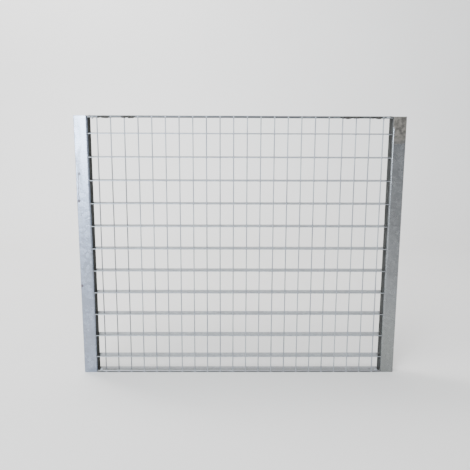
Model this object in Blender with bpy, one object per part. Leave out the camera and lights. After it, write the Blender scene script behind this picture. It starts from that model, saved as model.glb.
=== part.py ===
"""Galvanised steel grid panel between two angle rails.

The panel stands upright: X runs across it, its face looks along -Y, and Z runs
up. The origin is the middle of the bottom of its bounding box.

Thirteen flat bars lie across the panel, set on edge. Round wires run from the
bottom edge to the top edge and lie in notches in the bars' front edges. At each
side the bars end on the web of a folded angle rail, whose flange turns outward
in the plane of the face, so that the panel can hang between two beams.
"""
import math

import bmesh
import bpy

# Overall size of the panel.
WIDTH = 1.220
HEIGHT = 1.000
DEPTH = 0.060

# Side rails: a folded angle of sheet steel, flange outward and web backward.
FLANGE_WIDTH = 0.050
SHEET = 0.003
BEND_RADIUS = 0.006        # outside radius of the fold
BEND_STEPS = 5

# Flat bars on edge.
BAR_DEPTH = 0.040
BAR_THICKNESS = 0.003
BAR_COUNT = 11
BAR_PITCH = 0.087
EDGE_BAR_THICKNESS = 0.008

# Round wires, laid in notches of the bars.
WIRE_DIAMETER = 0.004
WIRE_COUNT = 22
WIRE_PITCH = 0.050
WIRE_SIDES = 12
WIRE_END_INSET = 0.001     # the wires stop just short of the edge bars' faces

# Clearance that is kept between two pieces that touch.
GAP = 0.0003

FRONT = -DEPTH / 2
BACK = DEPTH / 2
WEB_INSIDE = WIDTH / 2 - FLANGE_WIDTH
WIRE_RADIUS = WIRE_DIAMETER / 2


def remove_scene_objects():
    """Empty the scene, so that only the panel's pieces are in it."""
    for obj in list(bpy.data.objects):
        bpy.data.objects.remove(obj, do_unlink=True)


def galvanised(name, colour, roughness):
    """Zinc-coated steel as a Principled material."""
    material = bpy.data.materials.new(name)
    material.use_nodes = True
    shader = material.node_tree.nodes["Principled BSDF"]
    shader.inputs["Base Color"].default_value = (*colour, 1.0)
    shader.inputs["Metallic"].default_value = 1.0
    shader.inputs["Roughness"].default_value = roughness
    return material


def prism(name, outline, start, end, material):
    """A closed solid whose XY outline runs straight up from start to end."""
    shape = bmesh.new()
    base = [shape.verts.new((x, y, start)) for x, y in outline]
    face = shape.faces.new(base)
    extruded = bmesh.ops.extrude_face_region(shape, geom=[face])
    raised = [part for part in extruded["geom"] if isinstance(part, bmesh.types.BMVert)]
    bmesh.ops.translate(shape, verts=raised, vec=(0.0, 0.0, end - start))
    bmesh.ops.recalc_face_normals(shape, faces=shape.faces)
    bmesh.ops.triangulate(shape, faces=shape.faces)
    mesh = bpy.data.meshes.new(name)
    shape.to_mesh(mesh)
    shape.free()
    mesh.materials.append(material)
    obj = bpy.data.objects.new(name, mesh)
    bpy.context.scene.collection.objects.link(obj)
    return obj


def wire_places():
    """Distances of the wires from the panel's middle, left to right."""
    middle = (WIRE_COUNT - 1) / 2
    return [(number - middle) * WIRE_PITCH for number in range(WIRE_COUNT)]


def bar_places():
    """Heights of the middles of the thin bars, bottom to top."""
    middle = (BAR_COUNT - 1) / 2
    return [HEIGHT / 2 + (number - middle) * BAR_PITCH for number in range(BAR_COUNT)]


def arc(centre, radius, start, end, steps):
    """Points along an arc, from the start angle to the end angle."""
    angles = [start + (end - start) * step / steps for step in range(steps + 1)]
    return [(centre[0] + radius * math.cos(angle), centre[1] + radius * math.sin(angle))
            for angle in angles]


def rail_outline(side):
    """Section of a side rail: side is -1 for the left one, +1 for the right."""
    centre = (WEB_INSIDE + BEND_RADIUS, FRONT + BEND_RADIUS)
    outside = arc(centre, BEND_RADIUS, math.pi, 1.5 * math.pi, BEND_STEPS)
    inside = arc(centre, BEND_RADIUS - SHEET, 1.5 * math.pi, math.pi, BEND_STEPS)
    flange = [(WIDTH / 2, FRONT), (WIDTH / 2, FRONT + SHEET)]
    web = [(WEB_INSIDE + SHEET, BACK), (WEB_INSIDE, BACK)]
    return [(side * x, y) for x, y in outside + flange + inside + web]


def bar_outline():
    """A bar seen from above, with a notch in its front edge for each wire."""
    end = WEB_INSIDE - GAP
    half_notch = WIRE_RADIUS + GAP
    notch_floor = FRONT + WIRE_DIAMETER + GAP
    outline = [(end, FRONT + BAR_DEPTH), (-end, FRONT + BAR_DEPTH), (-end, FRONT)]
    for place in wire_places():
        outline += [(place - half_notch, FRONT), (place - half_notch, notch_floor),
                    (place + half_notch, notch_floor), (place + half_notch, FRONT)]
    return outline + [(end, FRONT)]


def wire_outline(place):
    """The round section of the wire that stands at this place."""
    turn = math.pi / WIRE_SIDES
    ring = arc((place, FRONT + WIRE_RADIUS), WIRE_RADIUS, turn, turn + 2 * math.pi, WIRE_SIDES)
    return ring[:-1]


def build_rails():
    """The two folded angle rails."""
    finish = galvanised("rail_zinc", (0.62, 0.66, 0.72), 0.42)
    prism("left_side_rail", rail_outline(-1), 0.0, HEIGHT, finish)
    prism("right_side_rail", rail_outline(1), 0.0, HEIGHT, finish)


def build_bars():
    """The two thick edge bars, and the thin bars between them."""
    finish = galvanised("bar_zinc", (0.55, 0.59, 0.63), 0.46)
    outline = bar_outline()
    prism("bottom_edge_bar", outline, 0.0, EDGE_BAR_THICKNESS, finish)
    prism("top_edge_bar", outline, HEIGHT - EDGE_BAR_THICKNESS, HEIGHT, finish)
    for number, height in enumerate(bar_places(), start=1):
        lower = height - BAR_THICKNESS / 2
        prism(f"bearing_bar_{number:02d}", outline, lower, lower + BAR_THICKNESS, finish)


def build_wires():
    """The round wires, shaded smooth along their length."""
    finish = galvanised("wire_zinc", (0.47, 0.50, 0.53), 0.40)
    for number, place in enumerate(wire_places(), start=1):
        wire = prism(f"cross_wire_{number:02d}", wire_outline(place), WIRE_END_INSET,
                     HEIGHT - WIRE_END_INSET, finish)
        wire.data.shade_smooth()
        wire.data.set_sharp_from_angle(angle=math.radians(40))


remove_scene_objects()
build_rails()
build_bars()
build_wires()
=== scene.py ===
"""Galvanised steel grid panel between two angle rails, standing on a pale studio floor.

X runs across the panel, its face looks along -Y, and Z runs up from the floor. All sizes are in metres.
"""
import math

import bpy
import numpy as np
from mathutils import Matrix, Vector


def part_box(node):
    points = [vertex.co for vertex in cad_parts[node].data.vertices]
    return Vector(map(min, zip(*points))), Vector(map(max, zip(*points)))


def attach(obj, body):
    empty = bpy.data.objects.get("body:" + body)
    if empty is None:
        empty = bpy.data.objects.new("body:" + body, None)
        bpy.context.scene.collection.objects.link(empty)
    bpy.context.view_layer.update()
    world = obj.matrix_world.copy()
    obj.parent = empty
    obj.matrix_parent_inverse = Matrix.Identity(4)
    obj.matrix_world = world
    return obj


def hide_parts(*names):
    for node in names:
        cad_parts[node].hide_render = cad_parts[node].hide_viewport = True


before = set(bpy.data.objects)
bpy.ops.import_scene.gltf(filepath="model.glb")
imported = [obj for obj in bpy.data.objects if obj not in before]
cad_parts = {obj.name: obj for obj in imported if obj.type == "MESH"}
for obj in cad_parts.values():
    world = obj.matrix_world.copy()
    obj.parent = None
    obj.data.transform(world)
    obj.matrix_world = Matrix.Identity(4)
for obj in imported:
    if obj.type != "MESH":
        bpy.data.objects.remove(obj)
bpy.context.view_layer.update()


# ---- Side rails ------------------------------------------------------------------------------
# Each rail is one strip of sheet steel, folded once to an angle and dipped in hot zinc after the
# panel was welded. Its flange turns outward in the plane of the face, so that the panel can hang
# between two beams, and its web runs back along the ends of the bars.

SHEET = 0.003
BEND_RADIUS = 0.006            # outside of the fold
SHEARED_EDGE = 0.0006          # rounding that the zinc leaves on a sheared edge
RAIL_BOW = 0.00025             # how far the sheet wanders out of flat

rail_low, rail_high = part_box("right_side_rail")
PANEL_TOP = rail_high.z
FRONT = rail_low.y
BACK = rail_high.y
WEB_INSIDE = rail_low.x
RAIL_OUTSIDE = rail_high.x


def eased(distance, radius, thickness):
    """Half thickness of a plate near its border: half the thickness well inside, and over the last
    radius a quarter circle that ends at half the thickness less the radius."""
    share = np.clip(1 - distance / radius, 0, 1)
    return thickness / 2 - radius * (1 - np.sqrt(1 - share ** 2))


def spaced(length, radius, count):
    """Distances from 0 to length: three close steps over the radius at each end, even ones between."""
    close = radius * np.array([0.0, 0.12, 0.4, 1.0])
    between = np.linspace(radius, length - radius, count)[1:-1]
    return np.concatenate([close, between, length - close[::-1]])


def waves(across, up, amplitude, turns, seed):
    """Slow unevenness: five sines of random direction and phase, at most `turns` waves a metre."""
    draw = np.random.default_rng(seed)
    total = 0.0
    for number in range(5):
        pitch_across, pitch_up = turns * draw.uniform(-1, 1, 2)
        phase = draw.uniform(0, 2 * math.pi)
        total = total + np.sin(2 * math.pi * (pitch_across * across + pitch_up * up) + phase)
    return amplitude * total / 3


def ring_faces(loop):
    """Quads round a tube whose sections are the rows of loop, each row a closed ring of numbers."""
    after = np.roll(loop, -1, axis=1)
    return np.stack([loop[:-1], after[:-1], after[1:], loop[1:]], axis=-1).reshape(-1, 4)


def end_faces(loop):
    """Quads that close both ends of a tube, each joining the first half of the ring to the second."""
    half = loop.shape[1] // 2
    first, second = loop[:, :half], loop[:, :half - 1:-1]
    start = [first[0, 1:], first[0, :-1], second[0, :-1], second[0, 1:]]
    stop = [first[-1, :-1], first[-1, 1:], second[-1, 1:], second[-1, :-1]]
    return np.concatenate([np.stack(start, axis=-1), np.stack(stop, axis=-1)])


def tube(sections):
    """Points and quads of closed tubes. sections is (tubes, rows, ring, 3), and every ring has an
    even number of points."""
    tubes, rows, ring = sections.shape[:3]
    loop = np.arange(rows * ring).reshape(rows, ring)
    faces = np.concatenate([ring_faces(loop), end_faces(loop)])
    offsets = np.arange(tubes)[:, None, None] * rows * ring
    return sections.reshape(-1, 3), (faces[None] + offsets).reshape(-1, 4)


def plate(middle, normal, half):
    """A closed plate: one skin is the middle surface moved out by half along its normal, the other
    is moved in by as much, and the borders join them."""
    out, back = middle + normal * half[..., None], middle - normal * half[..., None]
    return tube(np.concatenate([out, back[:, ::-1]], axis=1)[None])


def make_piece(name, shape, material, nodes=()):
    """A smooth-shaded mesh object that rides on the panel and stands for the CAD nodes named."""
    points, faces = shape
    corner = points[faces]
    volume = np.einsum("ij,ij->", corner[:, 0], np.cross(corner[:, 1], corner[:, 2]))
    volume += np.einsum("ij,ij->", corner[:, 0], np.cross(corner[:, 2], corner[:, 3]))
    mesh = bpy.data.meshes.new(name)
    mesh.from_pydata(points, [], faces if volume > 0 else faces[:, ::-1])
    mesh.update()
    mesh.shade_smooth()
    mesh.set_sharp_from_angle(angle=math.radians(50))
    mesh.materials.append(material)
    piece = bpy.data.objects.new(name, mesh)
    bpy.context.scene.collection.objects.link(piece)
    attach(piece, "root")
    if nodes:
        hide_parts(*nodes)
    return piece


def rail(side):
    """The folded strip: a point of its middle line at a distance s from the web's back edge lies on
    the web, then on the fold's arc, then on the flange; the section is carried up the panel."""
    web_length = BACK - (FRONT + BEND_RADIUS)
    arc_radius = BEND_RADIUS - SHEET / 2
    arc_length = arc_radius * math.pi / 2
    flange_length = RAIL_OUTSIDE - (WEB_INSIDE + BEND_RADIUS)
    length = web_length + arc_length + flange_length
    arc_steps = web_length + arc_length * np.linspace(0, 1, 9)
    s = np.unique(np.concatenate([spaced(length, SHEARED_EDGE, 34), arc_steps]))[None, :]
    z = spaced(PANEL_TOP, SHEARED_EDGE, 110)[:, None]
    turn = np.clip((s - web_length) / arc_radius, 0, math.pi / 2)
    x = WEB_INSIDE + BEND_RADIUS - arc_radius * np.cos(turn) + np.maximum(s - web_length - arc_length, 0)
    y = FRONT + BEND_RADIUS - arc_radius * np.sin(turn) + np.maximum(web_length - s, 0)
    out = np.stack([-np.cos(turn) * side, -np.sin(turn), 0 * turn], axis=-1)
    bow = waves(s, z, RAIL_BOW, 2.5, 40 + side)
    middle = np.stack(np.broadcast_arrays(x * side, y, z), axis=-1) + out * bow[..., None]
    border = np.minimum(np.minimum(s, length - s), np.minimum(z, PANEL_TOP - z))
    return plate(middle, np.broadcast_to(out, middle.shape), eased(border, SHEARED_EDGE, SHEET))


class Nodes:
    """Short calls for a material's nodes. Each call adds one node and returns its output, and a
    value that is a socket is linked while any other is set."""

    def __init__(self, tree):
        self.tree = tree

    def node(self, kind, out=0, settings=(), **inputs):
        made = self.tree.nodes.new("ShaderNode" + kind)
        for name, value in dict(settings).items():
            setattr(made, name, value)
        for name, value in inputs.items():
            self.set(made.inputs[name.replace("_", " ")], value)
        return made.outputs[out]

    def set(self, socket, value):
        if isinstance(value, bpy.types.NodeSocket):
            self.tree.links.new(value, socket)
        else:
            socket.default_value = value

    def math(self, operation, first, second=0.0, clamp=False):
        made = self.tree.nodes.new("ShaderNodeMath")
        made.operation, made.use_clamp = operation, clamp
        self.set(made.inputs[0], first)
        self.set(made.inputs[1], second)
        return made.outputs[0]

    def product(self, first, *others):
        """All the values multiplied together."""
        for value in others:
            first = self.math("MULTIPLY", first, value)
        return first

    def ramp(self, value, low, high):
        """0 below low, 1 above high, smooth between; with low above high it falls instead."""
        made = self.tree.nodes.new("ShaderNodeMapRange")
        made.interpolation_type = "SMOOTHSTEP"
        self.set(made.inputs["Value"], value)
        swap = low > high
        made.inputs["From Min"].default_value = min(low, high)
        made.inputs["From Max"].default_value = max(low, high)
        made.inputs["To Min"].default_value = 1.0 if swap else 0.0
        made.inputs["To Max"].default_value = 0.0 if swap else 1.0
        return made.outputs["Result"]

    def noise(self, vector, scale, detail=3.0, roughness=0.55):
        return self.node("TexNoise", Vector=vector, Scale=scale, Detail=detail, Roughness=roughness)

    def mix(self, share, first, second):
        """Colour or value between first and second."""
        made = self.tree.nodes.new("ShaderNodeMix")
        made.data_type = "RGBA"
        self.set(made.inputs["Factor"], share)
        self.set(made.inputs[6], first)
        self.set(made.inputs[7], second)
        return made.outputs[2]

    def blend(self, share, first, second):
        """Number between first and second."""
        made = self.tree.nodes.new("ShaderNodeMix")
        self.set(made.inputs["Factor"], share)
        self.set(made.inputs[2], first)
        self.set(made.inputs[3], second)
        return made.outputs[0]

    def place(self, scale=(1.0, 1.0, 1.0)):
        """Object coordinates, stretched by scale."""
        coordinates = self.node("TexCoord", out="Object")
        return self.node("Mapping", Vector=coordinates, Scale=scale)

    def along(self):
        """The X, Y and Z of Object coordinates."""
        made = self.tree.nodes.new("ShaderNodeSeparateXYZ")
        self.set(made.inputs[0], self.node("TexCoord", out="Object"))
        return made.outputs[0], made.outputs[1], made.outputs[2]

    def group(self, tree, **inputs):
        made = self.tree.nodes.new("ShaderNodeGroup")
        made.node_tree = tree
        for name, value in inputs.items():
            self.set(made.inputs[name.replace("_", " ")], value)
        return made.outputs


def new_group(name, inputs, outputs):
    """An empty node group with float inputs and their values, and float outputs."""
    tree = bpy.data.node_groups.new(name, "ShaderNodeTree")
    for label, value in inputs.items():
        socket = tree.interface.new_socket(label, in_out="INPUT", socket_type="NodeSocketFloat")
        socket.default_value = value
    for label in outputs:
        tree.interface.new_socket(label, in_out="OUTPUT", socket_type="NodeSocketFloat")
    return tree, tree.nodes.new("NodeGroupInput").outputs, tree.nodes.new("NodeGroupOutput").inputs


def build_zinc_crystals():
    """Hot-dip zinc freezes in flat crystals. Tone is one value for each crystal with feathering
    inside it, Seam is 1 on the lines between crystals, and Height is the relief of both."""
    tree, given, result = new_group("zinc_crystals", {"Size": 0.010}, ["Tone", "Seam", "Height"])
    n = Nodes(tree)
    place = n.place()
    density = n.math("DIVIDE", 1.0, given["Size"])
    bend = n.node("TexNoise", out="Color", Vector=place, Scale=90.0, Detail=3.0)
    bent = n.node("VectorMath", settings={"operation": "MULTIPLY_ADD"})
    add = bent.node
    n.set(add.inputs[0], bend)
    add.inputs[1].default_value = (0.010, 0.010, 0.010)
    n.set(add.inputs[2], place)
    crystal = n.node("TexVoronoi", out="Color", Vector=bent, Scale=density)
    edge = n.node("TexVoronoi", settings={"feature": "DISTANCE_TO_EDGE"}, Vector=bent, Scale=density)
    pick = tree.nodes.new("ShaderNodeSeparateColor")
    n.set(pick.inputs[0], crystal)
    feather = n.noise(place, 420.0, 5.0, 0.7)
    tone = n.math("ADD", n.math("MULTIPLY", pick.outputs[0], 0.65), n.math("MULTIPLY", feather, 0.35))
    seam = n.ramp(edge, 0.10, 0.0)
    n.set(result["Tone"], tone)
    n.set(result["Seam"], seam)
    n.set(result["Height"], n.math("SUBTRACT", tone, n.math("MULTIPLY", seam, 0.5)))
    return tree


def build_storage_grime():
    """Marks of handling and storage: Stain is broad cloudy dullness, Run is narrow vertical traces,
    and Speck is scattered small dots."""
    tree, given, result = new_group("storage_grime", {"Amount": 0.5}, ["Stain", "Run", "Speck"])
    n = Nodes(tree)
    cloud = n.noise(n.place(), 9.0, 5.0, 0.6)
    traces = n.noise(n.place((1.0, 1.0, 0.05)), 160.0, 4.0, 0.6)
    dots = n.node("TexVoronoi", Vector=n.place(), Scale=70.0)
    few = n.ramp(n.noise(n.place(), 22.0, 2.0), 0.52, 0.62)
    n.set(result["Stain"], n.math("MULTIPLY", n.ramp(cloud, 0.42, 0.68), given["Amount"]))
    n.set(result["Run"], n.math("MULTIPLY", n.ramp(traces, 0.50, 0.72), given["Amount"]))
    n.set(result["Speck"], n.product(n.ramp(dots, 0.13, 0.05), few, given["Amount"]))
    return tree


zinc_crystals = build_zinc_crystals()
storage_grime = build_storage_grime()


def new_finish(name, metallic):
    """A material with its Principled shader and the Nodes helper for its tree."""
    material = bpy.data.materials.new(name)
    material.use_nodes = True
    shader = material.node_tree.nodes["Principled BSDF"]
    shader.inputs["Metallic"].default_value = metallic
    shader.inputs["Specular IOR Level"].default_value = 0.15
    return material, shader, Nodes(material.node_tree)


def bump(n, shader, height, depth):
    """Relief on the whole finish: height 0 to 1 stands for depth in metres."""
    normal = n.node("Bump", Strength=1.0, Distance=depth, Height=height)
    n.set(shader.inputs["Normal"], normal)


RESIDUE_BOTTOM = PANEL_TOP - 0.100     # the brown-grey film at the top of the right flange
BARE_FOLD_TOP = 0.968          # below this height the film leaves the fold bare
HOOK_MARKS = ((-0.5979, 0.7865), (-0.6025, 0.6845), (-0.6054, 0.3553))   # x and z of dark marks
SCRATCH_X = -0.5970
SCRATCH_LOW = 0.686
SCRATCH_HIGH = 0.788


def rail_finish(side):
    """Zinc on a rail: crystals, dull traces running down, painted shade on the web inside the panel,
    and each side's own marks. The left rail's paler, bluer colours and the right rail's darker grey
    ones are painted light, lit and shaded copies of one zinc."""
    name = "left_rail_lit_zinc" if side < 0 else "right_rail_shaded_zinc"
    material, shader, n = new_finish(name, 0.85)
    x, y, z = n.along()
    crystal = n.group(zinc_crystals, Size=0.011)
    grime = n.group(storage_grime, Amount=0.6)
    # Painted light: the left rail's paler, bluer colours and the right rail's darker grey ones, dull
    # colours included, are lit and shaded copies of one zinc.
    pale, deep = ((0.290, 0.326, 0.400, 1), (0.238, 0.268, 0.330, 1)) if side < 0 else \
        ((0.228, 0.238, 0.246, 1), (0.188, 0.196, 0.204, 1))
    colour = n.mix(n.ramp(crystal["Tone"], 0.15, 0.85), deep, pale)
    dull = (0.24, 0.25, 0.27, 1) if side < 0 else (0.155, 0.155, 0.155, 1)
    colour = n.mix(n.math("MULTIPLY", grime["Run"], 0.45), colour, dull)
    colour = n.mix(n.math("MULTIPLY", grime["Stain"], 0.35), colour, dull)
    roughness = n.blend(crystal["Tone"], 0.20, 0.30)
    mark = 0.0
    if side < 0:
        near = 0.0
        flat = n.node("CombineXYZ", X=x, Y=0.0, Z=z)
        for mark_x, mark_z in HOOK_MARKS:
            gap = n.node("VectorMath", out="Value", settings={"operation": "DISTANCE"})
            n.set(gap.node.inputs[0], flat)
            gap.node.inputs[1].default_value = (mark_x, 0.0, mark_z)
            spot = n.ramp(gap, 0.0070, 0.0034)
            near = n.math("MAXIMUM", near, spot)
        wander = n.math("MULTIPLY", n.noise(n.place(), 30.0), 0.010)
        aside = n.math("ABSOLUTE", n.math("SUBTRACT", n.math("ADD", x, wander), SCRATCH_X))
        line = n.ramp(aside, 0.0022, 0.0006)
        above = n.ramp(z, SCRATCH_LOW - 0.004, SCRATCH_LOW + 0.004)
        below = n.ramp(z, SCRATCH_HIGH + 0.004, SCRATCH_HIGH - 0.004)
        scratch = n.product(line, above, below, 0.7)
        mark = n.math("MULTIPLY", n.math("MAXIMUM", near, scratch), 0.9)
        colour = n.mix(mark, colour, (0.075, 0.06, 0.07, 1))
        outer_half = n.ramp(x, -WEB_INSIDE - 0.020, -WEB_INSIDE - 0.034)
        outer = n.math("MULTIPLY", outer_half, n.ramp(z, 0.66, 0.80))
        cloud = n.ramp(n.noise(n.place((1.0, 1.0, 0.4)), 38.0, 4.0), 0.36, 0.62)
        colour = n.mix(n.product(outer, cloud, 0.85), colour, (0.145, 0.160, 0.190, 1))
    else:
        # Painted reflection: the right flange is lighter and greener towards the bottom, where it mirrors
        # the floor.
        foot = n.math("MULTIPLY", n.ramp(z, 0.40, 0.05), 0.7)
        colour = n.mix(foot, colour, (0.232, 0.242, 0.230, 1))
        mottle = n.noise(n.place(), 75.0, 5.0, 0.72)
        ragged = n.math("ADD", z, n.math("MULTIPLY", n.noise(n.place(), 60.0), 0.022))
        film = n.ramp(ragged, RESIDUE_BOTTOM + 0.009, RESIDUE_BOTTOM + 0.013)
        off_fold = n.ramp(x, WEB_INSIDE + 0.0045, WEB_INSIDE + 0.0060)
        covered = n.math("MAXIMUM", off_fold, n.ramp(ragged, BARE_FOLD_TOP, BARE_FOLD_TOP + 0.006))
        film = n.product(film, covered, n.ramp(y, FRONT + 0.0024, FRONT + 0.0014))
        brown = n.mix(n.ramp(mottle, 0.32, 0.68), (0.066, 0.060, 0.052, 1), (0.190, 0.175, 0.152, 1))
        tide = n.math("MULTIPLY", n.ramp(ragged, RESIDUE_BOTTOM + 0.034, RESIDUE_BOTTOM + 0.014), 0.45)
        brown = n.mix(tide, brown, (0.10, 0.10, 0.098, 1))
        colour = n.mix(n.math("MULTIPLY", film, 0.90), colour, brown)
        roughness = n.blend(film, roughness, 0.62)
    # Painted shade: the web's inner face inside the panel is coloured near black and made dull, darkest on
    # the left web.
    inner = n.ramp(n.math("ABSOLUTE", x), WEB_INSIDE + 0.0019, WEB_INSIDE + 0.0016)
    behind = n.ramp(n.math("ADD", y, n.math("MULTIPLY", n.noise(n.place(), 80.0), 0.003)),
                    FRONT + 0.0045, FRONT + 0.0070)
    web_shade_mask = n.math("MULTIPLY", inner, behind)
    thin = n.ramp(n.noise(n.place((1.0, 1.0, 0.35)), 70.0, 5.0, 0.65), 0.40, 0.72)
    deep_web_shade_colour, pale_web_shade_colour = ((0.016, 0.018, 0.016, 1), (0.048, 0.051, 0.048, 1)) if side < 0 else \
        ((0.020, 0.022, 0.021, 1), (0.062, 0.064, 0.062, 1))
    colour = n.mix(web_shade_mask, colour, n.mix(thin, deep_web_shade_colour, pale_web_shade_colour))
    n.set(shader.inputs["Metallic"], n.blend(n.math("MAXIMUM", web_shade_mask, mark), 0.85, 0.0))
    n.set(shader.inputs["Base Color"], colour)
    n.set(shader.inputs["Roughness"], n.blend(web_shade_mask, roughness, 0.85))
    bump(n, shader, crystal["Height"], 0.00004)
    return material


for side, word in ((-1, "left"), (1, "right")):
    make_piece(f"{word}_rail", rail(side), rail_finish(side), [f"{word}_side_rail"])


# ---- Bars ------------------------------------------------------------------------------------
# Thirteen flat bars lie across the panel on edge: eleven thin ones, and a thick one along the
# bottom and the top. Every front edge is slotted where an upright wire is laid in, and both ends
# are welded to the webs of the rails.

BAR_EDGE = 0.0004              # rounding of a thin bar's long edges
THICK_BAR_EDGE = 0.0012
BAR_REACH = WEB_INSIDE - 0.0002
WIRE_COUNT = 22
WIRE_PITCH = 0.050
WIRE_RADIUS = 0.002
SLOT_RADIUS = 0.0023
THIN_BAR_NAMES = [f"bearing_bar_{number:02d}" for number in range(1, 12)]
BAR_NAMES = ["bottom_edge_bar"] + THIN_BAR_NAMES + ["top_edge_bar"]

wire_x = (np.arange(WIRE_COUNT) - (WIRE_COUNT - 1) / 2) * WIRE_PITCH
bar_boxes = [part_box(name) for name in BAR_NAMES]
bar_z = np.array([(low.z + high.z) / 2 for low, high in bar_boxes])
bar_thickness = np.array([high.z - low.z for low, high in bar_boxes])
BAR_BACK = bar_boxes[0][1].y


def bar(number):
    """A bar: its middle surface is level, from the slotted front line to the straight back line.
    At a distance d from a wire's middle the slot reaches back by the wire's radius and the root
    of the slot's radius squared less d squared."""
    thickness, height = bar_thickness[number], bar_z[number]
    edge = THICK_BAR_EDGE if thickness > 0.005 else BAR_EDGE
    in_slot = SLOT_RADIUS * np.array([-1.02, -1.0, -0.8, -0.4, 0.0, 0.4, 0.8, 1.0, 1.02])
    between = WIRE_PITCH * np.array([0.25, 0.5, 0.75])
    stations = np.concatenate([(wire_x[:, None] + in_slot).ravel(), (wire_x[:-1, None] + between).ravel(),
                               BAR_REACH - spaced(0.034, edge, 4), spaced(0.034, edge, 4) - BAR_REACH])
    x = np.unique(stations)[:, None]
    distance = np.abs(x - wire_x).min(axis=1)[:, None]
    inside = np.clip(SLOT_RADIUS ** 2 - distance ** 2, 0, None)
    slot = np.where(distance < SLOT_RADIUS * 1.001, WIRE_RADIUS + np.sqrt(inside), 0.0)
    depth = spaced(BAR_BACK - FRONT, edge, 5)[None, :]
    share = depth / depth.max()
    y = FRONT + slot + share * (BAR_BACK - FRONT - slot)
    z = np.maximum(height + waves(x, y, 0.00018, 3.0, 60 + number), thickness / 2)
    middle = np.stack(np.broadcast_arrays(x, y, z), axis=-1)
    across = np.minimum(depth, depth.max() - depth)
    half = eased(np.minimum(across, BAR_REACH - np.abs(x)), edge, thickness)
    return plate(middle, np.broadcast_to((0.0, 0.0, 1.0), middle.shape), half)


def build_settled_dust():
    """Dust lies on what faces up. Dust is 1 there where the cloud of it is thick, 0 underneath."""
    tree, given, result = new_group("settled_dust", {"Amount": 0.5}, ["Dust"])
    n = Nodes(tree)
    facing = tree.nodes.new("ShaderNodeSeparateXYZ")
    n.set(facing.inputs[0], n.node("NewGeometry", out="Normal"))
    cloud = n.ramp(n.noise(n.place(), 55.0, 4.0), 0.30, 0.70)
    up = n.ramp(facing.outputs[2], 0.35, 0.90)
    n.set(result["Dust"], n.product(up, cloud, given["Amount"]))
    return tree


settled_dust = build_settled_dust()


def bar_finish(name, pale, deep, front=None, grime_and_highlight=False):
    """Zinc on the bars: smaller crystals, dust on top, and painted shade next to the webs. A thick
    bar's front face is painted dark in patches, partly its own dull colour and partly painted shade.
    With the last argument set, the top face darkens towards the front, dried stains lie near the
    ends, and a painted highlight runs along the upper front edge."""
    material, shader, n = new_finish(name, 0.85)
    x, y, z = n.along()
    crystal = n.group(zinc_crystals, Size=0.008)
    grime = n.group(storage_grime, Amount=0.7)
    dust = n.group(settled_dust, Amount=0.6)["Dust"]
    colour = n.mix(n.ramp(crystal["Tone"], 0.15, 0.85), deep, pale)
    colour = n.mix(n.math("MULTIPLY", grime["Stain"], 0.4), colour, (0.22, 0.225, 0.23, 1))
    colour = n.mix(n.math("MULTIPLY", grime["Speck"], 0.6), colour, (0.16, 0.15, 0.14, 1))
    colour = n.mix(n.math("MULTIPLY", dust, 0.5), colour, (0.36, 0.355, 0.34, 1))
    if front:
        facing = n.node("NewGeometry", out="Normal")
        parts = n.tree.nodes.new("ShaderNodeSeparateXYZ")
        n.set(parts.inputs[0], facing)
        forward, upward = n.math("MULTIPLY", parts.outputs[1], -1.0), parts.outputs[2]
        # The front face is painted dark in patches: partly the bar's own dull colour, partly painted shade
        # standing in for the shade under the bar.
        front_patches = n.noise(n.place((0.3, 1.0, 1.0)), 60.0, 4.0)
        on_front = n.math("MULTIPLY", n.ramp(forward, 0.30, 0.80), n.ramp(front_patches, 0.15, 0.45))
        colour = n.mix(on_front, colour, front)
    if grime_and_highlight:
        # The top face is darker towards its front edge.
        top_front_darkening = n.math("MULTIPLY", n.ramp(y, FRONT + 0.030, FRONT + 0.002), n.ramp(upward, 0.6, 0.9))
        colour = n.mix(n.math("MULTIPLY", top_front_darkening, 0.55), colour, (0.12, 0.12, 0.12, 1))
        dried = n.ramp(n.noise(n.place((0.5, 1.0, 1.0)), 48.0, 3.0), 0.50, 0.62)
        ends = n.math("MAXIMUM", n.ramp(x, 0.43, 0.49), n.ramp(x, -0.46, -0.50))
        near_front = n.ramp(y, FRONT + 0.020, FRONT + 0.010)
        stain = n.product(dried, ends, near_front, n.ramp(upward, 0.6, 0.9), 0.9)
        colour = n.mix(stain, colour, (0.05, 0.05, 0.05, 1))
        # Painted highlight along the bar's upper front edge.
        arris = n.math("MULTIPLY", n.ramp(upward, 0.20, 0.45), n.ramp(forward, 0.10, 0.35))
        colour = n.mix(n.math("MULTIPLY", arris, 0.85), colour, (0.85, 0.86, 0.87, 1))
    # Painted shade beside the webs: a grey band within 14 mm of each web, and a near-black dull patch on
    # the bar ends that carries on the webs' painted shade.
    taper = n.math("MULTIPLY", n.math("SUBTRACT", y, FRONT), -0.22)
    ragged = n.math("ADD", n.math("ADD", n.math("ABSOLUTE", x), taper),
                    n.math("MULTIPLY", n.noise(n.place(), 90.0), 0.003))
    web_end_shade = n.math("MULTIPLY", n.ramp(ragged, WEB_INSIDE - 0.0122, WEB_INSIDE - 0.0105),
                  n.ramp(y, FRONT + 0.0008, FRONT + 0.0018))
    near_web = n.ramp(n.math("ABSOLUTE", x), WEB_INSIDE - 0.014, WEB_INSIDE - 0.011)
    web_side_shade = n.math("MULTIPLY", near_web, 0.55)
    colour = n.mix(web_side_shade, colour, (0.14, 0.14, 0.14, 1))
    colour = n.mix(web_end_shade, colour, (0.028, 0.030, 0.028, 1))
    rough = n.blend(crystal["Tone"], 0.38, 0.52)
    n.set(shader.inputs["Base Color"], colour)
    covering = n.math("MAXIMUM", web_end_shade, n.math("MULTIPLY", dust, 0.6))
    n.set(shader.inputs["Metallic"], n.blend(covering, 0.85, 0.0))
    n.set(shader.inputs["Roughness"], n.blend(n.math("MAXIMUM", web_end_shade, dust), rough, 0.80))
    bump(n, shader, crystal["Height"], 0.00005)
    return material


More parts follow.
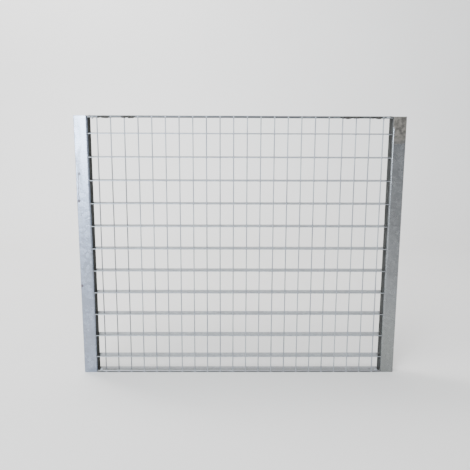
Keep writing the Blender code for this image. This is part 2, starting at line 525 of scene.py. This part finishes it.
thin_zinc = bar_finish("thin_bar_zinc", (0.37, 0.40, 0.425, 1), (0.265, 0.29, 0.315, 1))
low_zinc = bar_finish("bottom_bar_zinc", (0.34, 0.36, 0.38, 1), (0.23, 0.25, 0.27, 1),
                      front=(0.098, 0.101, 0.105, 1), grime_and_highlight=True)
high_zinc = bar_finish("top_bar_zinc", (0.34, 0.36, 0.38, 1), (0.23, 0.25, 0.27, 1),
                       front=(0.085, 0.089, 0.092, 1))
for number, node in enumerate(BAR_NAMES):
    piece_name = node.replace("edge_bar", "thick_bar").replace("bearing_bar", "thin_bar")
    finish = {"bottom_edge_bar": low_zinc, "top_edge_bar": high_zinc}.get(node, thin_zinc)
    make_piece(piece_name, bar(number), finish, [node])


# ---- Upright wires ---------------------------------------------------------------------------
# Twenty-two round wires run from the bottom bar to the top bar. They were laid in the slots of the
# bars with their front sides flush, and the zinc bath fixed them there.

WIRE_SIDES = 16
WIRE_WANDER = 0.00022

wire_low, wire_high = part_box("cross_wire_01")


def wire(number):
    """A round rod up the panel: radius 2 mm, a few per cent uneven, its middle line wandering a
    little, and both ends drawn in along a quarter circle."""
    length = wire_high.z - wire_low.z
    along = spaced(length, 0.0012, 90)[:, None]
    turn = (np.arange(WIRE_SIDES) + 0.5)[None, :] * 2 * math.pi / WIRE_SIDES
    ends = eased(np.minimum(along, length - along), 0.0012, 2 * WIRE_RADIUS) / WIRE_RADIUS
    radius = WIRE_RADIUS * ends * (1 + waves(turn / math.pi, along, 0.02, 14.0, 100 + number))
    x = wire_x[number] + waves(0.0, along, WIRE_WANDER, 2.2, 140 + number) + radius * np.cos(turn)
    y = FRONT + WIRE_RADIUS + waves(0.0, along, WIRE_WANDER / 2, 2.2, 180 + number) + radius * np.sin(turn)
    return tube(np.stack(np.broadcast_arrays(x, y, wire_low.z + along), axis=-1)[None])


def wire_finish():
    """Zinc on the wires: no crystals to be seen on so small a round, but dull and bright lengths,
    drips and specks."""
    material, shader, n = new_finish("wire_zinc_finish", 0.85)
    lengths = n.noise(n.place((1.0, 1.0, 0.12)), 45.0, 3.0)
    fine = n.noise(n.place(), 600.0, 4.0, 0.65)
    grime = n.group(storage_grime, Amount=0.8)
    colour = n.mix(n.ramp(lengths, 0.32, 0.68), (0.22, 0.24, 0.265, 1), (0.38, 0.405, 0.43, 1))
    x, y, z = n.along()
    # Painted shade: the wires nearest the left rail are painted darker, below about 0.85 m.
    dull = n.math("MULTIPLY", n.ramp(x, -0.395, -0.435), n.ramp(z, 0.90, 0.80))
    colour = n.mix(n.math("MULTIPLY", dull, 0.75), colour, (0.085, 0.09, 0.095, 1))
    colour = n.mix(n.math("MULTIPLY", grime["Speck"], 0.7), colour, (0.14, 0.13, 0.12, 1))
    colour = n.mix(n.math("MULTIPLY", n.ramp(fine, 0.45, 0.75), 0.25), colour, (0.20, 0.21, 0.22, 1))
    n.set(shader.inputs["Base Color"], colour)
    n.set(shader.inputs["Roughness"], n.blend(lengths, 0.52, 0.36))
    bump(n, shader, n.math("ADD", fine, n.math("MULTIPLY", lengths, 2.0)), 0.00008)
    return material


wire_zinc = wire_finish()
for number in range(WIRE_COUNT):
    node = f"cross_wire_{number + 1:02d}"
    make_piece(f"upright_wire_{number + 1:02d}", wire(number), wire_zinc, [node])


# ---- Zinc at the crossings -------------------------------------------------------------------
# Where a wire lies in a bar's slot, the zinc bath left a small collar that fills the slot and runs
# out along the wire above and below the bar.

COLLAR_RADIUS = 0.0036
COLLAR_RUNOUT = 0.0022


def collars(heights, thickness, seed):
    """Spools round the wires: the radius is the wire's own plus a share that falls off with the
    square of the distance from the bar, cut flat at the panel's face and at the wires' ends."""
    draw = np.random.default_rng(seed)
    rise = np.array([-1.0, -0.45, 0.0])
    under = -thickness / 2 + rise * COLLAR_RUNOUT
    level = np.concatenate([under, -under[::-1]])
    swell = np.concatenate([(1 + rise) ** 2, (1 + rise[::-1]) ** 2])
    turn = (np.arange(8) + 0.5) * 2 * math.pi / 8
    place_x, place_z = [grid.ravel() for grid in np.meshgrid(wire_x, heights)]
    size = draw.uniform(0.75, 1.15, place_x.size)[:, None, None]
    radius = WIRE_RADIUS * 1.03 + (COLLAR_RADIUS - WIRE_RADIUS) * swell[None, :, None] * size
    x = place_x[:, None, None] + radius * np.cos(turn)
    y = np.maximum(FRONT + WIRE_RADIUS + radius * np.sin(turn), FRONT - 0.0002)
    z = place_z[:, None, None] + level[None, :, None] * (0.9 + 0.1 * size)
    z = np.clip(z, wire_low.z, wire_high.z)
    return tube(np.stack(np.broadcast_arrays(x, y, z), axis=-1))


def join(shapes):
    """Several shapes as one: their points in a row, their faces renumbered."""
    starts = np.cumsum([0] + [len(points) for points, faces in shapes[:-1]])
    return (np.concatenate([points for points, faces in shapes]),
            np.concatenate([faces + start for (points, faces), start in zip(shapes, starts)]))


def bead_finish(name, pale, deep):
    """Zinc over weld metal or in a slot: lumpy and dull."""
    material, shader, n = new_finish(name, 0.8)
    lumps = n.noise(n.place(), 350.0, 4.0, 0.6)
    grime = n.group(storage_grime, Amount=0.6)
    colour = n.mix(n.ramp(lumps, 0.3, 0.7), deep, pale)
    colour = n.mix(n.math("MULTIPLY", grime["Stain"], 0.4), colour, (0.20, 0.20, 0.20, 1))
    n.set(shader.inputs["Base Color"], colour)
    n.set(shader.inputs["Roughness"], n.blend(lumps, 0.40, 0.58))
    bump(n, shader, lumps, 0.00025)
    return material


bead_zinc = bead_finish("bead_zinc", (0.40, 0.42, 0.44, 1), (0.22, 0.23, 0.25, 1))
# Painted shade: the face tacks at the webs get a darker copy of the bead zinc.
tack_zinc = bead_finish("dark_tack_zinc", (0.27, 0.27, 0.28, 1), (0.15, 0.15, 0.155, 1))
thin_crossings = collars(bar_z[1:-1], bar_thickness[1], 7)
thick_crossings = collars(bar_z[[0, -1]], bar_thickness[0], 8)
make_piece("crossing_zinc", join([thin_crossings, thick_crossings]), bead_zinc)


# ---- Welds at the bar ends -------------------------------------------------------------------
# Each bar end is fillet-welded to the web above and below, with a small tack that shows on the
# face. The four corners have a larger bead each. All of it was zinc-dipped with the panel.

FILLET = 0.0026
RIPPLE_PITCH = 0.0019
CORNER_BEADS = {               # x and z of the middle, half width, half height
    "left": [(-0.5430, 0.0105, 0.0050, 0.0055), (-0.5415, PANEL_TOP - 0.0068, 0.0040, 0.0056)],
    "right": [(0.5430, 0.0095, 0.0055, 0.0050), (0.5440, PANEL_TOP - 0.0040, 0.0090, 0.0038)],
}


def fillets(side):
    """Rods of weld laid from front to back in the corner of bar and web, half of each buried; the
    radius swells and sinks once in every ripple and runs out at both ends."""
    heights = np.concatenate([bar_z - bar_thickness / 2, bar_z + bar_thickness / 2])
    heights = heights[(heights > 0.001) & (heights < PANEL_TOP - 0.001)][:, None, None]
    start, stop = FRONT + 0.0025, BAR_BACK - 0.001
    along = np.linspace(0, 1, 44)[None, :, None]
    y = start + (stop - start) * along
    phase = np.arange(heights.size)[:, None, None] * 1.7
    ripple = 1 + 0.13 * np.sin(2 * math.pi * y / RIPPLE_PITCH + phase) + 0.10 * np.sin(y * 260 + phase)
    runout = np.sqrt(np.clip(1 - (2 * along - 1) ** 8, 0.02, 1))
    turn = (np.arange(12) + 0.5)[None, None, :] * 2 * math.pi / 12
    radius = FILLET * ripple * runout
    x = side * (WEB_INSIDE - radius * np.cos(turn))
    z = heights + radius * np.sin(turn)
    return tube(np.stack(np.broadcast_arrays(x, y, z), axis=-1))


def lumps(centres, sizes, seed):
    """Flat rounded beads: ellipsoids about each centre, with a low wave round them."""
    centres, sizes = np.array(centres)[:, None, None, :], np.array(sizes)[:, None, None, :]
    tilt = np.linspace(0.04, math.pi - 0.04, 24)[None, :, None]
    turn = (np.arange(24) + 0.5)[None, None, :] * 2 * math.pi / 24
    phase = np.random.default_rng(seed).uniform(0, 6, len(centres))[:, None, None]
    uneven = 1 + 0.12 * np.sin(3 * turn + 2.5 * tilt + phase) + 0.08 * np.sin(5 * tilt + 2 * phase)
    side, front, up = np.cos(tilt), np.sin(tilt) * np.cos(turn), np.sin(tilt) * np.sin(turn)
    ball = np.stack(np.broadcast_arrays(side, front, up), -1)
    return tube(centres + ball * sizes * uneven[..., None])


def dark_weld_finish():
    """The fillets behind the face are coloured near black and dull: painted shade of the corner between
    bar and web, as on the webs.
    """
    material, shader, n = new_finish("shaded_weld_finish", 0.3)
    patch = n.noise(n.place(), 160.0, 4.0)
    colour = n.mix(n.ramp(patch, 0.35, 0.7), (0.030, 0.032, 0.030, 1), (0.10, 0.10, 0.10, 1))
    n.set(shader.inputs["Base Color"], colour)
    n.set(shader.inputs["Roughness"], n.blend(patch, 0.85, 0.6))
    bump(n, shader, patch, 0.0003)
    return material


shaded_weld = dark_weld_finish()
for side, word in ((-1, "left"), (1, "right")):
    make_piece(f"{word}_fillet_welds", fillets(side), shaded_weld)
    tacks = [(side * (WEB_INSIDE - 0.001), FRONT + 0.0012, height) for height in bar_z[1:-1]]
    make_piece(f"{word}_face_tacks", lumps(tacks, [(0.0045, 0.0014, 0.0018)] * len(tacks), 20 + side),
               tack_zinc)
    centres = [(x, FRONT + 0.0010, z) for x, z, wide, tall in CORNER_BEADS[word]]
    sizes = [(wide, 0.0020, tall) for x, z, wide, tall in CORNER_BEADS[word]]
    make_piece(f"{word}_corner_welds", lumps(centres, sizes, 30 + side), bead_zinc)


# ---- Residue on the top bar ------------------------------------------------------------------
# A dark crust, left by whatever the panel was last used with, clings to the front of the top bar
# near both ends. It is a thin uneven film with one drip at the right.

CRUST_RUNS = ((-0.527, -0.474), (-0.437, -0.384), (0.364, 0.529))    # from x to x
DRIP_X = 0.5257


def crust(start, stop, seed):
    """A flat ragged rod along the front of the top bar: its height and its level both wander, and
    it thins to nothing at both ends and in a few places between."""
    along = np.linspace(0, 1, 90)[:, None]
    x = start + (stop - start) * along
    wander = waves(x, 0.0, 1.0, 35.0, seed) + 0.5 * waves(x, 0.0, 1.0, 80.0, seed + 1)
    runout = np.sqrt(np.clip(1 - (2 * along - 1) ** 6, 0.01, 1))
    tall = np.clip(0.0032 + 0.0020 * wander, 0.0005, 0.0056) * runout
    level = PANEL_TOP - 0.0052 + 0.0007 * waves(x, 0.0, 1.0, 30.0, seed + 2)
    turn = (np.arange(10) + 0.5)[None, :] * 2 * math.pi / 10
    y = FRONT + 0.0002 + 0.40 * tall * np.sin(turn)
    z = level + tall * np.cos(turn)
    return tube(np.stack(np.broadcast_arrays(x, y, z), axis=-1)[None])


def crust_finish():
    """Dried residue: near black, matt, greyer where it is thin."""
    material, shader, n = new_finish("dried_residue", 0.0)
    patch = n.noise(n.place(), 240.0, 4.0, 0.65)
    colour = n.mix(n.ramp(patch, 0.35, 0.70), (0.016, 0.016, 0.015, 1), (0.070, 0.068, 0.064, 1))
    n.set(shader.inputs["Base Color"], colour)
    n.set(shader.inputs["Roughness"], n.blend(patch, 0.90, 0.65))
    bump(n, shader, patch, 0.0004)
    return material


residue_shapes = [crust(start, stop, 300 + 10 * number) for number, (start, stop) in enumerate(CRUST_RUNS)]
residue_shapes.append(lumps([(DRIP_X, FRONT + 0.0004, PANEL_TOP - 0.0105)], [(0.0013, 0.0012, 0.0045)], 5))
make_piece("top_bar_residue", join(residue_shapes), crust_finish())


# ---- Floor, backdrop, light and camera -------------------------------------------------------
# The panel stands on a pale floor that sweeps up into a plain backdrop well behind it. A tall soft
# light stands to the left in front, one hangs overhead, and one lights the backdrop.

FLOOR_FRONT = -7.0
SWEEP_START = 2.2
SWEEP_RADIUS = 1.3
BACKDROP_TOP = 5.0
STAGE_HALF_WIDTH = 7.0


def backdrop():
    """One sheet: level floor, a quarter circle, and an upright wall, all straight across."""
    turn = np.linspace(0, math.pi / 2, 25)
    floor = np.linspace(FLOOR_FRONT, SWEEP_START, 20)[:-1]
    y = np.concatenate([floor, SWEEP_START + SWEEP_RADIUS * np.sin(turn)])
    z = np.concatenate([0 * floor, SWEEP_RADIUS * (1 - np.cos(turn))])
    y, z = np.append(y, y[-1]), np.append(z, BACKDROP_TOP)
    x = np.linspace(-STAGE_HALF_WIDTH, STAGE_HALF_WIDTH, 3)[:, None]
    points = np.stack(np.broadcast_arrays(x, y, z), axis=-1)
    number = np.arange(points[..., 0].size).reshape(points.shape[:2])
    faces = np.stack([number[:-1, :-1], number[1:, :-1], number[1:, 1:], number[:-1, 1:]], axis=-1)
    mesh = bpy.data.meshes.new("backdrop")
    mesh.from_pydata(points.reshape(-1, 3), [], faces.reshape(-1, 4))
    mesh.shade_smooth()
    material, shader, n = new_finish("pale_paper", 0.0)
    cloud = n.noise(n.place(), 1.5, 3.0)
    n.set(shader.inputs["Base Color"], n.mix(cloud, (0.80, 0.795, 0.780, 1), (0.84, 0.835, 0.820, 1)))
    shader.inputs["Roughness"].default_value = 0.9
    mesh.materials.append(material)
    sheet = bpy.data.objects.new("backdrop", mesh)
    bpy.context.scene.collection.objects.link(sheet)


def soft_light(name, place, target, width, height, power, colour, spread=180.0):
    """A rectangular area light that looks from its place to the target, its spread in degrees."""
    lamp = bpy.data.lights.new(name, "AREA")
    lamp.spread = math.radians(spread)
    lamp.shape, lamp.size, lamp.size_y = "RECTANGLE", width, height
    lamp.energy, lamp.color = power, colour
    holder = bpy.data.objects.new(name, lamp)
    holder.location = place
    holder.rotation_euler = (Vector(target) - Vector(place)).to_track_quat("-Z", "Y").to_euler()
    bpy.context.scene.collection.objects.link(holder)


backdrop()
soft_light("tall_left_light", (-2.1, -5.0, 1.50), (-0.5, 0.0, 0.9), 2.0, 2.6, 96, (0.80, 0.89, 1.0), 80.0)
soft_light("overhead_light", (-1.2, -2.2, 3.6), (0.0, 0.0, 0.3), 3.0, 2.0, 140, (1.0, 0.985, 0.96))
soft_light("backdrop_light", (-1.8, 1.2, 3.6), (-0.6, 3.4, 1.0), 3.0, 1.2, 180, (1.0, 0.98, 0.97))

room = bpy.data.worlds.new("room")
room.use_nodes = True
room.node_tree.nodes["Background"].inputs["Color"].default_value = (0.97, 0.98, 1.0, 1)
room.node_tree.nodes["Background"].inputs["Strength"].default_value = 0.72
bpy.context.scene.world = room

lens = bpy.data.cameras.new("camera")
lens.lens, lens.sensor_width = 50.0, 36.0
camera = bpy.data.objects.new("camera", lens)
camera.location = (-0.0453, -2.4524, 1.0642)
turned, tipped, rolled = math.radians(-0.631), math.radians(90 - 11.856), math.radians(0.241)
camera.rotation_euler = (Matrix.Rotation(turned, 3, "Z") @ Matrix.Rotation(tipped, 3, "X")
                         @ Matrix.Rotation(rolled, 3, "Z")).to_euler()
bpy.context.scene.collection.objects.link(camera)
bpy.context.scene.camera = camera
